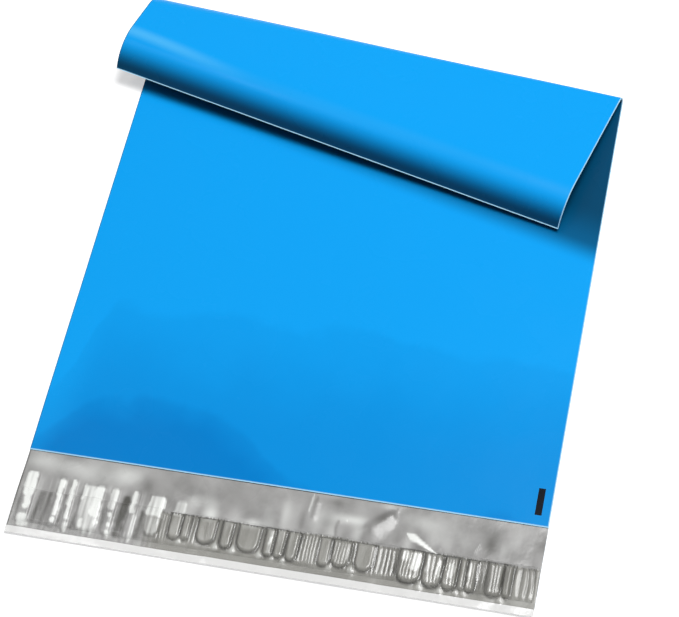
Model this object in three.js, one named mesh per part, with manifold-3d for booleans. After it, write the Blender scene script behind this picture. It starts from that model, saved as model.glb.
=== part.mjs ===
// A poly mailer bag: a flat plastic film envelope that lies on its back panel,
// with its far end rolled over onto its front panel.
// Millimetres and degrees, +Z up. Before it is shifted to its rest point, the flat
// film has X across the bag from its left side, and Y from the mouth to the bottom.
import * as THREE from "three";
import Module from "manifold-3d";

// Sizes of the bag laid out flat
const BAG_WIDTH = 254;
const BAG_LENGTH = 330;
const FLAP_LENGTH = 40;
const SIDE_WELD = 6;
const BOTTOM_FOLD = 2;
const FILM_THICKNESS = 0.2;
const POCKET_GAP = 0.3;

// The roll at the far end: a bend about an apex beyond the right side, a flat run
// and a second bend that turns the bottom edge down to the front panel
const FOLD_RADIUS_LEFT = 10.4;
const FOLD_APEX_BEYOND = 106;
const FOLD_SLANT = 4.4;
const FLAT_RUN_LEFT = 18;
const EDGE_BEND_LENGTH = 26;
const EDGE_BEND_RADIUS = 22;
const EDGE_GAP = 3;

// The closing strip on the inside of the flap
const ADHESIVE_WIDTH = 17;
const ADHESIVE_MARGIN = 3;
const ADHESIVE_THICKNESS = 0.3;
const ADHESIVE_SIDE_MARGIN = 1.5;
const LINER_THICKNESS = 0.2;
const LINER_OVERHANG = 3.8;
const STRIP_CLEARANCE = 0.3;

// Puckers that the hot adhesive leaves in the flap
const PUCKER_HEIGHT = 1.1;
const PUCKER_SPACING = 16;
const PUCKER_RUN_UP = 12;
const PUCKER_DRIFT = 0.35;
const PUCKER_DRIFT_LENGTH = 74;

// The bag lies on its back panel, and its rest point is this far from the mouth
const REST_FROM_MOUTH = 110;

// How finely the bends and the puckers are faceted
const FOLD_STEPS = 18;
const EDGE_STEPS = 9;
const FLAP_COLUMNS = 72;
const PLAIN_FLAP_ROWS = 3;
const BAND_ROWS = 6;
const FLAP_LAP = 2;

const BAG_THICKNESS = 2 * FILM_THICKNESS + POCKET_GAP;
const ADHESIVE_START = FLAP_LENGTH - ADHESIVE_MARGIN - ADHESIVE_WIDTH;
const ADHESIVE_END = FLAP_LENGTH - ADHESIVE_MARGIN;

const blueFilm = new THREE.MeshStandardMaterial({ color: 0x1ea5fa, roughness: 0.35, metalness: 0 });
const hotMelt = new THREE.MeshStandardMaterial({ color: 0x96948c, roughness: 0.3, metalness: 0 });
const linerFilm = new THREE.MeshStandardMaterial({ color: 0xe4e4e2, roughness: 0.4, metalness: 0 });

// The roll's layout for one turn of the fold, with angles in radians about the apex.
function rollLayout(turn) {
  const apexX = BAG_WIDTH + FOLD_APEX_BEYOND;
  const start = THREE.MathUtils.degToRad(FOLD_SLANT);
  const tightness = apexX / FOLD_RADIUS_LEFT;
  const fan = turn / tightness;
  const edgeBendStart = BAG_LENGTH - EDGE_BEND_LENGTH;
  const apexY = edgeBendStart - FLAT_RUN_LEFT - apexX * Math.tan(start + fan);
  return { apexX, apexY, start, fan, tightness, edgeBendStart };
}

// Where a point of the flat film lies once the far end is rolled over: along and
// across are its flat place, and depth is how far it lies inside the outer face. The
// bottom edge is bent first, and one turn about the apex then makes the fold.
function placeOnRoll(layout, across, along, depth) {
  const { apexX, apexY, start, fan, tightness, edgeBendStart } = layout;
  const toLeft = apexX - across;
  const upward = Math.min(along, edgeBendStart) - apexY;
  const reach = Math.hypot(toLeft, upward);
  const angle = Math.atan2(upward, toLeft);
  const bent = THREE.MathUtils.clamp(angle - start, 0, fan);

  const edgeAngle = Math.max(along - edgeBendStart, 0) / EDGE_BEND_RADIUS;
  const innerRadius = EDGE_BEND_RADIUS - depth;
  const onward = innerRadius * Math.sin(edgeAngle);
  const rise = EDGE_BEND_RADIUS - innerRadius * Math.cos(edgeAngle);
  const point = new THREE.Vector3(
    -reach * Math.cos(angle - bent) - onward * Math.sin(bent),
    reach * Math.sin(angle - bent) + onward * Math.cos(bent),
    rise,
  );

  const turnAxis = new THREE.Vector3(tightness * Math.cos(start), -tightness * Math.sin(start), -1);
  const speed = turnAxis.length();
  point.applyAxisAngle(turnAxis.normalize(), bent * speed);
  return point.add(new THREE.Vector3(apexX, apexY, 0));
}

// The fold turns until the bottom edge comes down to its gap above the front panel.
function solveLayout() {
  const target = BAG_THICKNESS + EDGE_GAP;
  const lowestEdge = (turn) =>
    Math.min(
      placeOnRoll(rollLayout(turn), 0, BAG_LENGTH, 0).z,
      placeOnRoll(rollLayout(turn), BAG_WIDTH, BAG_LENGTH, 0).z,
    );
  let open = THREE.MathUtils.degToRad(120);
  let closed = THREE.MathUtils.degToRad(215);
  for (let step = 0; step < 50; step++) {
    const middle = (open + closed) / 2;
    if (lowestEdge(middle) > target) open = middle;
    else closed = middle;
  }
  return rollLayout(open);
}
const layout = solveLayout();

// A closed solid from a grid of cells, each filled or empty. place gives the corner
// at a column, row and layer line, in a right-handed order.
function cellSolid(columns, rows, layers, isFilled, place) {
  const positions = [];
  const indices = [];
  const numbers = new Map();
  const corner = (column, row, layer) => {
    const key = (layer * (rows + 1) + row) * (columns + 1) + column;
    if (!numbers.has(key)) {
      numbers.set(key, numbers.size);
      positions.push(...place(column, row, layer).toArray());
    }
    return numbers.get(key);
  };
  const filled = (column, row, layer) =>
    column >= 0 && column < columns && row >= 0 && row < rows && layer >= 0 && layer < layers &&
    isFilled(column, row, layer);
  const quad = (a, b, c, d) => indices.push(a, b, c, a, c, d);

  for (let layer = 0; layer < layers; layer++)
    for (let row = 0; row < rows; row++)
      for (let column = 0; column < columns; column++) {
        if (!filled(column, row, layer)) continue;
        const at = (x, y, z) => corner(column + x, row + y, layer + z);
        if (!filled(column, row, layer - 1)) quad(at(0, 0, 0), at(0, 1, 0), at(1, 1, 0), at(1, 0, 0));
        if (!filled(column, row, layer + 1)) quad(at(0, 0, 1), at(1, 0, 1), at(1, 1, 1), at(0, 1, 1));
        if (!filled(column - 1, row, layer)) quad(at(0, 0, 0), at(0, 0, 1), at(0, 1, 1), at(0, 1, 0));
        if (!filled(column + 1, row, layer)) quad(at(1, 0, 0), at(1, 1, 0), at(1, 1, 1), at(1, 0, 1));
        if (!filled(column, row - 1, layer)) quad(at(0, 0, 0), at(1, 0, 0), at(1, 0, 1), at(0, 0, 1));
        if (!filled(column, row + 1, layer)) quad(at(0, 1, 0), at(0, 1, 1), at(1, 1, 1), at(1, 1, 0));
      }

  const geometry = new THREE.BufferGeometry();
  geometry.setAttribute("position", new THREE.Float32BufferAttribute(positions, 3));
  geometry.setIndex(indices);
  return geometry;
}

// Evenly spaced places from one value to another, with both ends.
const evenly = (from, to, steps) =>
  Array.from({ length: steps + 1 }, (unused, step) => from + ((to - from) * step) / steps);

// The bag's body: two film walls with the pocket between them, open at the mouth and
// closed by a weld down each side and by the fold at the bottom. Its rows follow the
// straight lines of the two bends, so each facet is flat.
function bodyGeometry() {
  const across = [0, SIDE_WELD, BAG_WIDTH - SIDE_WELD, BAG_WIDTH];
  const depths = [0, FILM_THICKNESS, FILM_THICKNESS + POCKET_GAP, BAG_THICKNESS];
  const foldAngles = evenly(layout.start, layout.start + layout.fan, FOLD_STEPS);
  const edgeRows = evenly(layout.edgeBendStart, BAG_LENGTH - BOTTOM_FOLD, EDGE_STEPS);
  const rowLines = [
    () => 0,
    ...foldAngles.map((angle) => (x) => layout.apexY + (layout.apexX - x) * Math.tan(angle)),
    ...edgeRows.map((along) => () => along),
    () => BAG_LENGTH,
  ];
  const columns = across.length - 1;
  const rows = rowLines.length - 1;
  const layers = depths.length - 1;
  const isPocket = (column, row, layer) => layer === 1 && column === 1 && row < rows - 1;
  return cellSolid(
    columns,
    rows,
    layers,
    (column, row, layer) => !isPocket(column, row, layer),
    (column, row, layer) => placeOnRoll(layout, across[column], rowLines[row](across[column]), depths[layer]),
  );
}

// How high the puckers lift the flap, across the bag and out from the mouth.
function puckerLift(across, out) {
  const rampStart = ADHESIVE_START - PUCKER_RUN_UP;
  const ramp = THREE.MathUtils.smoothstep(out, rampStart, ADHESIVE_START);
  const drift = PUCKER_DRIFT * Math.sin((2 * Math.PI * across) / PUCKER_DRIFT_LENGTH);
  const wave = 0.5 - 0.5 * Math.cos(2 * Math.PI * (across / PUCKER_SPACING + drift));
  return PUCKER_HEIGHT * ramp * wave;
}

// One layer of the flap: a thin sheet that follows the puckers at a height above the
// flap's outer face. outs are its distances out from the mouth, the farthest first.
function flapLayer(outs, sideMargin, height, thickness) {
  const across = evenly(0, BAG_WIDTH, FLAP_COLUMNS).map((x) =>
    THREE.MathUtils.clamp(x, sideMargin, BAG_WIDTH - sideMargin),
  );
  return cellSolid(
    FLAP_COLUMNS,
    outs.length - 1,
    1,
    () => true,
    (column, row, layer) => {
      const lift = puckerLift(across[column], outs[row]);
      return new THREE.Vector3(across[column], -outs[row], lift + height + layer * thickness);
    },
  );
}

const bandOuts = evenly(ADHESIVE_END, ADHESIVE_START, BAND_ROWS);
const plainOuts = evenly(ADHESIVE_START, 0, PLAIN_FLAP_ROWS).slice(1);

const adhesiveHeight = FILM_THICKNESS + STRIP_CLEARANCE;
const linerHeight = adhesiveHeight + ADHESIVE_THICKNESS + STRIP_CLEARANCE;
const flapGeometry = flapLayer([FLAP_LENGTH, ...bandOuts, ...plainOuts, -FLAP_LAP], 0, 0, FILM_THICKNESS);
const adhesiveGeometry = flapLayer(bandOuts, ADHESIVE_SIDE_MARGIN, adhesiveHeight, ADHESIVE_THICKNESS);
const linerGeometry = flapLayer(
  [FLAP_LENGTH + LINER_OVERHANG, FLAP_LENGTH, ...bandOuts],
  0,
  linerHeight,
  LINER_THICKNESS,
);

// The flap is the back wall carried on past the mouth, so it joins the body.
const wasm = await Module();
wasm.setup();
const toSolid = (geometry) =>
  new wasm.Manifold(
    new wasm.Mesh({
      numProp: 3,
      vertProperties: geometry.getAttribute("position").array,
      triVerts: new Uint32Array(geometry.index.array),
    }),
  );
function toGeometry(solid) {
  const mesh = solid.getMesh();
  const geometry = new THREE.BufferGeometry();
  geometry.setAttribute("position", new THREE.Float32BufferAttribute(mesh.vertProperties, 3));
  geometry.setIndex(Array.from(mesh.triVerts));
  return geometry;
}
const filmGeometry = toGeometry(toSolid(bodyGeometry()).add(toSolid(flapGeometry)));

function namedMesh(name, geometry, material) {
  geometry.computeVertexNormals();
  const mesh = new THREE.Mesh(geometry, material);
  mesh.name = name;
  return mesh;
}

const bag = new THREE.Group();
bag.position.set(-BAG_WIDTH / 2, -REST_FROM_MOUTH, 0);
bag.add(namedMesh("bag_film", filmGeometry, blueFilm));
bag.add(namedMesh("adhesive_strip", adhesiveGeometry, hotMelt));
bag.add(namedMesh("release_liner", linerGeometry, linerFilm));

const part = new THREE.Group();
part.add(bag);
export default part;
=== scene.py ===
import functools
import math

import bpy
from mathutils import Matrix, Vector, noise


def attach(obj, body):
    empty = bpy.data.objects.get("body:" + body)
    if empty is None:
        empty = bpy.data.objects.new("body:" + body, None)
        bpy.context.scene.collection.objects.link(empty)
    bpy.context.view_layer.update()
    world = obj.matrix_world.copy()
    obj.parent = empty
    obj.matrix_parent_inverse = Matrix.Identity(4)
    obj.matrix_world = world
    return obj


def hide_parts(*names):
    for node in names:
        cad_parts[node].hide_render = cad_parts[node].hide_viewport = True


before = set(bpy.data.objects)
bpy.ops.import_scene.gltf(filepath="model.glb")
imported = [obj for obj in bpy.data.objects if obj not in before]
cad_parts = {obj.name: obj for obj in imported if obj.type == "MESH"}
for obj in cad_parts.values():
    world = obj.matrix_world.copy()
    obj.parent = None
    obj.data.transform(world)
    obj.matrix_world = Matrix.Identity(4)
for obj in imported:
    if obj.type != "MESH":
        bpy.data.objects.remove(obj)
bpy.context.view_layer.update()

MM = 0.001

# The bag laid out flat, in metres: across from its left side, along from the mouth
BAG_WIDTH = 254 * MM
BAG_LENGTH = 330 * MM
FLAP_LENGTH = 40 * MM
FILM_THICKNESS = 0.2 * MM
POCKET_GAP = 0.3 * MM
BAG_THICKNESS = 2 * FILM_THICKNESS + POCKET_GAP
REST_POINT = Vector((BAG_WIDTH / 2, 110 * MM, 0))

# The roll at the far end
FOLD_RADIUS_LEFT = 10.4 * MM
FOLD_APEX_BEYOND = 106 * MM
FOLD_SLANT = math.radians(4.4)
FLAT_RUN_LEFT = 18 * MM
EDGE_BEND_LENGTH = 26 * MM
EDGE_BEND_RADIUS = 22 * MM
EDGE_GAP = 3 * MM
BOTTOM_FOLD = 2 * MM
LIP_LENGTH = 0.5 * MM
LIP_FLARE = 0.32 * MM

# The fold's turn lies between these, and halving the span between them finds it
FOLD_TURN_LOW = math.radians(120)
FOLD_TURN_HIGH = math.radians(215)
FOLD_TURN_HALVINGS = 50

# The closing strip on the inside of the flap
ADHESIVE_WIDTH = 17 * MM
ADHESIVE_MARGIN = 3 * MM
ADHESIVE_THICKNESS = 0.3 * MM
ADHESIVE_SIDE_MARGIN = 1.5 * MM
ADHESIVE_TAPER = 1.5 * MM
ADHESIVE_THINNEST = 0.12
LINER_THICKNESS = 0.15 * MM
LINER_OVERHANG = 3.8 * MM
STRIP_CLEARANCE = 0.15 * MM
ADHESIVE_START = FLAP_LENGTH - ADHESIVE_MARGIN - ADHESIVE_WIDTH
ADHESIVE_END = FLAP_LENGTH - ADHESIVE_MARGIN

# How finely the film is divided
BODY_COLUMNS = 80
WELD_COLUMNS = 2
FLAP_SPLIT = 7
FLAP_COLUMNS = BODY_COLUMNS * FLAP_SPLIT
PANEL_ROWS = 40
FOLD_ROWS = 36
FLAT_RUN_ROWS = 6
EDGE_ROWS = 14
ROWS_ABOVE_BAND = 18
ROWS_AT_BAND_TOP = 7
ROWS_IN_BAND = 26
OVERHANG_ROWS = 4
SHARP_ANGLE = math.radians(50)

# Faces of the film: its blue outside, its grey inside and its cut edges
OUTSIDE = 0
INSIDE = 1
CUT = 2


def add_object(name, data):
    made = bpy.data.objects.new(name, data)
    bpy.context.scene.collection.objects.link(made)
    return made


# Small helpers for node trees
def feed(tree, socket, value):
    if isinstance(value, bpy.types.NodeSocket):
        tree.links.new(value, socket)
    elif value is not None:
        socket.default_value = value


def add_node(tree, kind, inputs=(), **settings):
    node = tree.nodes.new(kind)
    for name, value in settings.items():
        setattr(node, name, value)
    pairs = inputs.items() if isinstance(inputs, dict) else enumerate(inputs)
    for key, value in pairs:
        feed(tree, node.inputs[key], value)
    return node


def calc(tree, operation, *values):
    return add_node(tree, "ShaderNodeMath", values, operation=operation).outputs[0]


def vector_calc(tree, operation, *values):
    return add_node(tree, "ShaderNodeVectorMath", values, operation=operation).outputs[0]


def combine(tree, x, y, z):
    return add_node(tree, "ShaderNodeCombineXYZ", (x, y, z)).outputs[0]


def smooth_step(tree, value, low, high, at_low=0.0, at_high=1.0):
    settings = {"Value": value, "From Min": low, "From Max": high, "To Min": at_low, "To Max": at_high}
    node = add_node(tree, "ShaderNodeMapRange", settings, interpolation_type="SMOOTHSTEP")
    return node.outputs[0]


def mix_colour(tree, mask, first, second):
    node = add_node(tree, "ShaderNodeMix", data_type="RGBA")
    feed(tree, node.inputs[0], mask)
    feed(tree, node.inputs[6], first)
    feed(tree, node.inputs[7], second)
    return node.outputs[2]


def group_sockets(tree, way, kind, *names):
    for name in names:
        tree.interface.new_socket(name=name, in_out=way, socket_type="NodeSocket" + kind)


# The roll's layout for one turn of the fold, with angles about the apex
def roll_layout(turn):
    apex_x = BAG_WIDTH + FOLD_APEX_BEYOND
    tightness = apex_x / FOLD_RADIUS_LEFT
    fan = turn / tightness
    edge_start = BAG_LENGTH - EDGE_BEND_LENGTH
    apex_y = edge_start - FLAT_RUN_LEFT - apex_x * math.tan(FOLD_SLANT + fan)
    return {
        "Apex Across": apex_x,
        "Apex Along": apex_y,
        "Start Angle": FOLD_SLANT,
        "Fan Angle": fan,
        "Tightness": tightness,
        "Edge Bend Start": edge_start,
        "Edge Bend Radius": EDGE_BEND_RADIUS,
    }


# Where a point on the flat film's lower face lies once the far end is rolled over
def place_on_roll(layout, across, along):
    apex = Vector((layout["Apex Across"], layout["Apex Along"], 0))
    start = layout["Start Angle"]
    tightness = layout["Tightness"]
    upward = min(along, layout["Edge Bend Start"]) - apex.y
    to_left = apex.x - across
    angle = math.atan2(upward, to_left)
    bent = min(max(angle - start, 0), layout["Fan Angle"])
    reach = math.hypot(upward, to_left)
    edge_angle = max(along - layout["Edge Bend Start"], 0) / EDGE_BEND_RADIUS
    forward = EDGE_BEND_RADIUS * math.sin(edge_angle)
    rise = EDGE_BEND_RADIUS - EDGE_BEND_RADIUS * math.cos(edge_angle)
    local = Vector((-reach * math.cos(angle - bent), reach * math.sin(angle - bent), rise))
    local += Vector((-math.sin(bent), math.cos(bent), 0)) * forward
    axis = Vector((tightness * math.cos(start), -tightness * math.sin(start), -1))
    turned = Matrix.Rotation(bent * axis.length, 3, axis.normalized()) @ local
    return apex + turned


# The fold turns until the bottom edge comes down to its gap above the front panel
def solved_layout():
    low_turn = FOLD_TURN_LOW
    high_turn = FOLD_TURN_HIGH
    target = BAG_THICKNESS + EDGE_GAP
    for halving in range(FOLD_TURN_HALVINGS):
        turn = (low_turn + high_turn) / 2
        layout = roll_layout(turn)
        edge = min(place_on_roll(layout, across, BAG_LENGTH).z for across in (0, BAG_WIDTH))
        if edge > target:
            low_turn = turn
        else:
            high_turn = turn
    return roll_layout(low_turn)


# A geometry tree that rolls a flat film over: each point's position is its flat
# place across, along and deep in the film
def roll_tree(finishes):
    tree = bpy.data.node_groups.new("Rolled film", "GeometryNodeTree")
    group_sockets(tree, "INPUT", "Geometry", "Geometry")
    group_sockets(tree, "INPUT", "Float", *roll_layout(1))
    group_sockets(tree, "INPUT", "Vector", "Rest Point")
    group_sockets(tree, "OUTPUT", "Geometry", "Geometry")
    given = tree.nodes.new("NodeGroupInput").outputs
    position = add_node(tree, "GeometryNodeInputPosition").outputs[0]
    across, along, depth = add_node(tree, "ShaderNodeSeparateXYZ", [position]).outputs
    start = given["Start Angle"]
    tightness = given["Tightness"]
    edge_start = given["Edge Bend Start"]
    edge_radius = given["Edge Bend Radius"]

    before_edge = calc(tree, "MINIMUM", along, edge_start)
    upward = calc(tree, "SUBTRACT", before_edge, given["Apex Along"])
    to_left = calc(tree, "SUBTRACT", given["Apex Across"], across)
    angle = calc(tree, "ARCTAN2", upward, to_left)
    past_start = calc(tree, "MAXIMUM", calc(tree, "SUBTRACT", angle, start), 0.0)
    bent = calc(tree, "MINIMUM", past_start, given["Fan Angle"])
    flat_angle = calc(tree, "SUBTRACT", angle, bent)
    left_squared = calc(tree, "MULTIPLY", to_left, to_left)
    reach = calc(tree, "SQRT", calc(tree, "MULTIPLY_ADD", upward, upward, left_squared))

    past_edge = calc(tree, "MAXIMUM", calc(tree, "SUBTRACT", along, edge_start), 0.0)
    edge_angle = calc(tree, "DIVIDE", past_edge, edge_radius)
    inner_radius = calc(tree, "SUBTRACT", edge_radius, depth)
    forward = calc(tree, "MULTIPLY", inner_radius, calc(tree, "SINE", edge_angle))
    drop = calc(tree, "MULTIPLY", inner_radius, calc(tree, "COSINE", edge_angle))
    rise = calc(tree, "SUBTRACT", edge_radius, drop)
    flat_x = calc(tree, "MULTIPLY", reach, calc(tree, "MULTIPLY", calc(tree, "COSINE", flat_angle), -1.0))
    flat_y = calc(tree, "MULTIPLY", reach, calc(tree, "SINE", flat_angle))
    sideways = calc(tree, "MULTIPLY", calc(tree, "SINE", bent), -1.0)
    heading = combine(tree, sideways, calc(tree, "COSINE", bent), 0.0)
    stretched = {"Vector": heading, "Scale": forward}
    onward = add_node(tree, "ShaderNodeVectorMath", stretched, operation="SCALE").outputs[0]
    local = vector_calc(tree, "ADD", combine(tree, flat_x, flat_y, rise), onward)

    axis_x = calc(tree, "MULTIPLY", tightness, calc(tree, "COSINE", start))
    axis_y = calc(tree, "MULTIPLY", tightness, calc(tree, "SINE", start))
    axis = combine(tree, axis_x, calc(tree, "MULTIPLY", axis_y, -1.0), -1.0)
    speed = calc(tree, "SQRT", calc(tree, "MULTIPLY_ADD", tightness, tightness, 1.0))
    turn = {"Vector": local, "Axis": axis, "Angle": calc(tree, "MULTIPLY", bent, speed)}
    turned = add_node(tree, "ShaderNodeVectorRotate", turn, rotation_type="AXIS_ANGLE").outputs[0]
    apex = combine(tree, given["Apex Across"], given["Apex Along"], 0.0)
    placed = vector_calc(tree, "SUBTRACT", vector_calc(tree, "ADD", turned, apex), given["Rest Point"])

    moved = add_node(tree, "GeometryNodeSetPosition", {"Geometry": given["Geometry"], "Position": placed})
    shape = add_node(tree, "GeometryNodeRealizeInstances", [moved.outputs[0]]).outputs[0]
    finish = add_node(tree, "GeometryNodeInputNamedAttribute", {"Name": "finish"}, data_type="INT")
    for number, material in enumerate(finishes):
        same = add_node(tree, "FunctionNodeCompare", data_type="INT", operation="EQUAL")
        feed(tree, same.inputs[2], finish.outputs[0])
        feed(tree, same.inputs[3], number)
        chosen = {"Geometry": shape, "Selection": same.outputs[0], "Material": material}
        shape = add_node(tree, "GeometryNodeSetMaterial", chosen).outputs[0]
    add_node(tree, "NodeGroupOutput", [shape])
    return tree


# The heights of the film's surface
def ramp(value, low, high):
    share = min(max((value - low) / (high - low), 0), 1)
    return share * share * (3 - 2 * share)


# A ramp whose ends are given from a base
def ramp_near(value, base, span):
    return ramp(value, base + span[0], base + span[1])


# 1 in the middle and soft to both sides
def hump(away, width):
    return math.exp(-((away / width) ** 2))


def blend_between(first, second, share):
    return first + (second - first) * share


# Soft random patterns: how fast each one changes across and along the film, and its
# place in the noise. The flap's are for millimetres and the body's for metres
SOFT_FOLDS = (0.042, 0.016, 3.7)
BROAD_FOLDS = (0.017, 0.009, 8.1)
SMALL_FOLDS = (0.13, 0.09, 6.3)
SHADED_FOLDS = (0.17, 0.05, 4.9)
MOTTLING = (0.09, 0.12, 1.7)
STREAKS = (0.75, 0.05, 9.4)
STROKE_WAVER = (0.12, 0.24, 7.7)
STROKE_FRAY = (0.5, 0.7, 2.3)
PLEAT_WANDER = (0.16, 0.05, 5.2)
PLEAT_DEPTHS = (0.45, 0.08, 3.1)
BAND_TOP_JITTER = (0.6, 2.2, 0)
BAND_LINE_SPECKLE = (1.4, 4.1, 0)
BODY_WAVE = (11, 8, 0.5)
BODY_FINE_WAVE = (34, 22, 2.5)
MOUTH_WAVE = (26, 4.4, 1.1)


def drift(pattern, across, along=1):
    return noise.noise(Vector((across * pattern[0], along * pattern[1], pattern[2])))


# Pads of hot melt along the flap, in millimetres: left side, right side, top, bottom
# and how dark the painted shade in the groove round the pad is. The ones at the left are long soft ridges
PADS = (
    (2.6, 9.6, 10.5, 38.5, 0), (19.4, 23.4, 12, 38, 0), (25.8, 29.4, 11.5, 38.5, 0),
    (32, 43.8, 13, 37.5, 0), (46.2, 51, 13, 38, 0), (57, 61.5, 13, 38, 0),
    (66, 74, 13.5, 34.5, 0.2), (78.5, 84.3, 21, 34, 0.7), (84.7, 88.7, 21, 33.5, 0.6),
    (92.3, 101.3, 21.3, 34, 0.9), (104.2, 109.6, 21.2, 34.5, 1), (112.3, 123, 21.2, 34.5, 0.9),
    (125.3, 129.8, 21, 35, 0.9), (130.4, 135, 21, 35, 0.8), (136.1, 141.5, 21.2, 35.5, 0.9),
    (151.6, 157, 21.8, 35.5, 0.8), (157.8, 166.6, 21.8, 35, 0.7), (169, 177.5, 21.5, 35, 0.8),
    (189.2, 199.9, 21, 37, 0.8), (201.1, 209.6, 21.2, 37.5, 0.8), (210.4, 217, 21.4, 37.5, 0.7),
    (217.6, 220.6, 21.5, 36.5, 0.5), (221.1, 225.5, 21.4, 37, 0.7), (230.5, 237.6, 21, 37.5, 0.6),
    (238.1, 242, 21, 37, 0.5),
)
PAD_HEIGHT = 0.75
PAD_SLOPE = (-0.2, 1.1)
PAD_CORNER = 4.5
PAD_TOP_STEEPNESS = 1.6
GROOVE_WIDTH = 0.7
GROOVE_OUTSIDE = 0.3

# Narrow gaps between neighbouring pads: their left and right reach, the lower end of
# the pads beside them and how wide they are. A raised ridge with a painted highlight in each spreads into a
# cusp
NARROW_GAP = 3.5
CUSPS = tuple(
    ((pad[1] + after[0]) / 2 - 1, (pad[1] + after[0]) / 2 + 1, min(pad[3], after[3]), after[0] - pad[1])
    for pad, after in zip(PADS, PADS[1:])
    if pad[4] and after[0] - pad[1] < NARROW_GAP
)

# Where a ridge begins, brightens, widens and ends, from the pads' lower end
CUSP_BEGINS = (-11, -5)
CUSP_BRIGHTENS = (-4, 0)
CUSP_WIDENS = (-3, 2)
CUSP_ENDS = (0.8, 3.6)
CUSP_WIDTH = 0.3
CUSP_GAP_SHARE = 0.2
CUSP_WIDENING = 0.9
CUSP_FAINT = 0.4
CUSP_HEIGHT = 0.4

# Stretches of the band that are drawn into fine pleats: left side, right side, how
# far apart the pleats are and how dark the painted shade in their valleys is
PLEATED = (
    (72, 79, 1.5, 0.6), (88.5, 92, 1.6, 0.5), (142, 151.5, 1.7, 0.7), (157, 168.5, 1.7, 0.5),
    (177, 189.5, 2.0, 0.9), (190, 200, 1.9, 0.35), (201, 217, 1.8, 0.6), (221, 226, 1.6, 0.4),
    (230.5, 242, 1.8, 0.7), (242, 254, 2.6, 0.9),
)
PLEAT_HEIGHT = 0.3
PLEAT_BENDING = 0.8
PLEAT_SIDES = (-0.4, 0.4)
PLEATS_BEGIN = (-0.2, 0.8)
PLEATS_END = (33, 37)
PLEAT_DEPTH_MEAN = 0.85
PLEAT_DEPTH_SPREAD = 1.1

# Painted highlights (pale) and painted shade (dark) in strokes over the flap's ridges:
# left side, right side, start and end out from the mouth, and strength
GLINT_AND_SHADE_STROKES = (
    (2.9, 8.9, 11, 24, 1), (4.9, 8.5, 22, 31, 0.95), (4.3, 10, 33, 39.4, 0.8),
    (19.5, 22.8, 12.5, 22, 0.9), (20.8, 23, 20, 32, 0.85), (20.5, 23.3, 32.5, 35.5, 1),
    (25.9, 28.7, 12, 26, 0.95), (26.8, 29, 24, 33, 0.85), (27, 29.6, 34, 39, 0.45),
    (32.3, 34.8, 13.5, 22, 0.6), (33.5, 43, 14, 38, 0.42), (38.4, 43.5, 13.5, 29.5, 0.8),
    (34.3, 36.9, 31, 36, 0.7), (41.4, 43.5, 30.8, 33, 0.95), (46.4, 50.3, 13.5, 25, 0.75),
    (47.4, 49.8, 25.8, 28.4, 1), (48, 50.1, 31, 33.4, 0.95), (48.3, 50.4, 35, 37.4, 1),
    (47.5, 51.5, 27, 39, 0.35), (57, 60.2, 13, 25, 0.85), (58.6, 62, 25, 39, 0.45),
    (65.8, 73.5, 13.5, 24.5, 0.8), (71.6, 73.6, 14, 25, 0.5), (67.6, 73.4, 25, 34, 0.3),
    (78.4, 84.2, 14.5, 22.5, 0.5), (127, 128.7, 22.5, 34, 0.55), (127.2, 128.5, 25.5, 29.5, 0.8),
    (190, 193.6, 21.5, 27, 0.6), (194.6, 199.4, 22, 31, 0.8), (201.6, 203.6, 22, 31, 0.5),
    (207.4, 209.4, 24, 33, 0.5), (212.6, 216, 24.5, 32, 0.65), (221.4, 223.6, 23, 30, 0.35),
    (10.5, 18.5, 20, 37, -0.45), (23.8, 25.6, 20, 36, -0.5), (30, 32, 18, 37, -0.5),
    (44, 46, 16, 36, -0.45), (52, 56.6, 16, 38, -0.85), (62.4, 66.5, 22, 37, -0.6),
    (141.8, 143.4, 21, 34, -0.55), (157, 158, 12, 36, -0.6),
)
STROKE_SOFTNESS = 0.7
STROKE_CORNER = 1.8
STROKE_STREAKS = 0.4

# Soft clouds of painted sheen and painted shade on the flap: middle across and out, half
# sizes across and out, and strength
SHEEN_AND_SHADE_CLOUDS = (
    (24, 6, 14, 4, 0.22), (53, 5.5, 8, 5, 0.35), (36, 9, 12, 5, 0.15), (75, 9, 12, 8, -0.2),
    (96, 19, 5, 3, 0.35), (89, 13, 8, 3.5, 0.22), (117.5, 20, 5, 2.6, 0.4), (106, 9, 9, 6, -0.1),
    (131.8, 13, 2.4, 8, 0.3), (140.5, 14, 1.6, 6, -0.3), (147, 11, 4, 7, 0.12), (154.5, 3.4, 4, 2, -0.35),
    (163, 10.8, 8, 2.2, 0.42), (178, 8, 6, 4, -0.2), (184, 16, 4, 4, -0.15), (199, 7, 11, 4, 0.25),
    (213, 11, 7, 6, 0.05), (241, 9, 4, 6, 0.2), (252, 9, 4, 7, -0.32), (206, 19, 4, 2, -0.2),
    (230, 12, 3.6, 6, -0.45), (228, 28, 2.4, 10, -0.5), (14, 27, 5, 7, -0.2), (54, 27, 3.5, 12, -0.25),
    (244.5, 13, 2, 6, -0.28), (6, 5, 8, 4, 0.25), (63.5, 9, 3, 5, -0.25), (180, 1.5, 4, 2, 0.3),
)

# Sharp creases: both ends, across and out, the width at each end and the strength of
# the painted highlight along it, a painted shade where the strength is below 0
CREASES = (
    (190, 13, 205.5, 21, 3.2, 0.4, 1.3), (225.4, 12, 222.7, 17.5, 0.4, 0.4, 0.45),
    (156.5, 12.2, 161.5, 11.6, 0.5, 0.2, 0.5), (184, 2, 173.5, 13, 2.5, 5, -0.35),
    (143.4, 0.8, 142.6, 10, 1, 0.6, 0.45), (145.4, 1, 144.8, 12, 1.2, 1.6, -0.3),
)
CREASE_OPENS = (-0.08, 0.3)
CREASE_HEIGHT = 0.35
CREASE_SOFTNESS = 0.6

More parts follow.
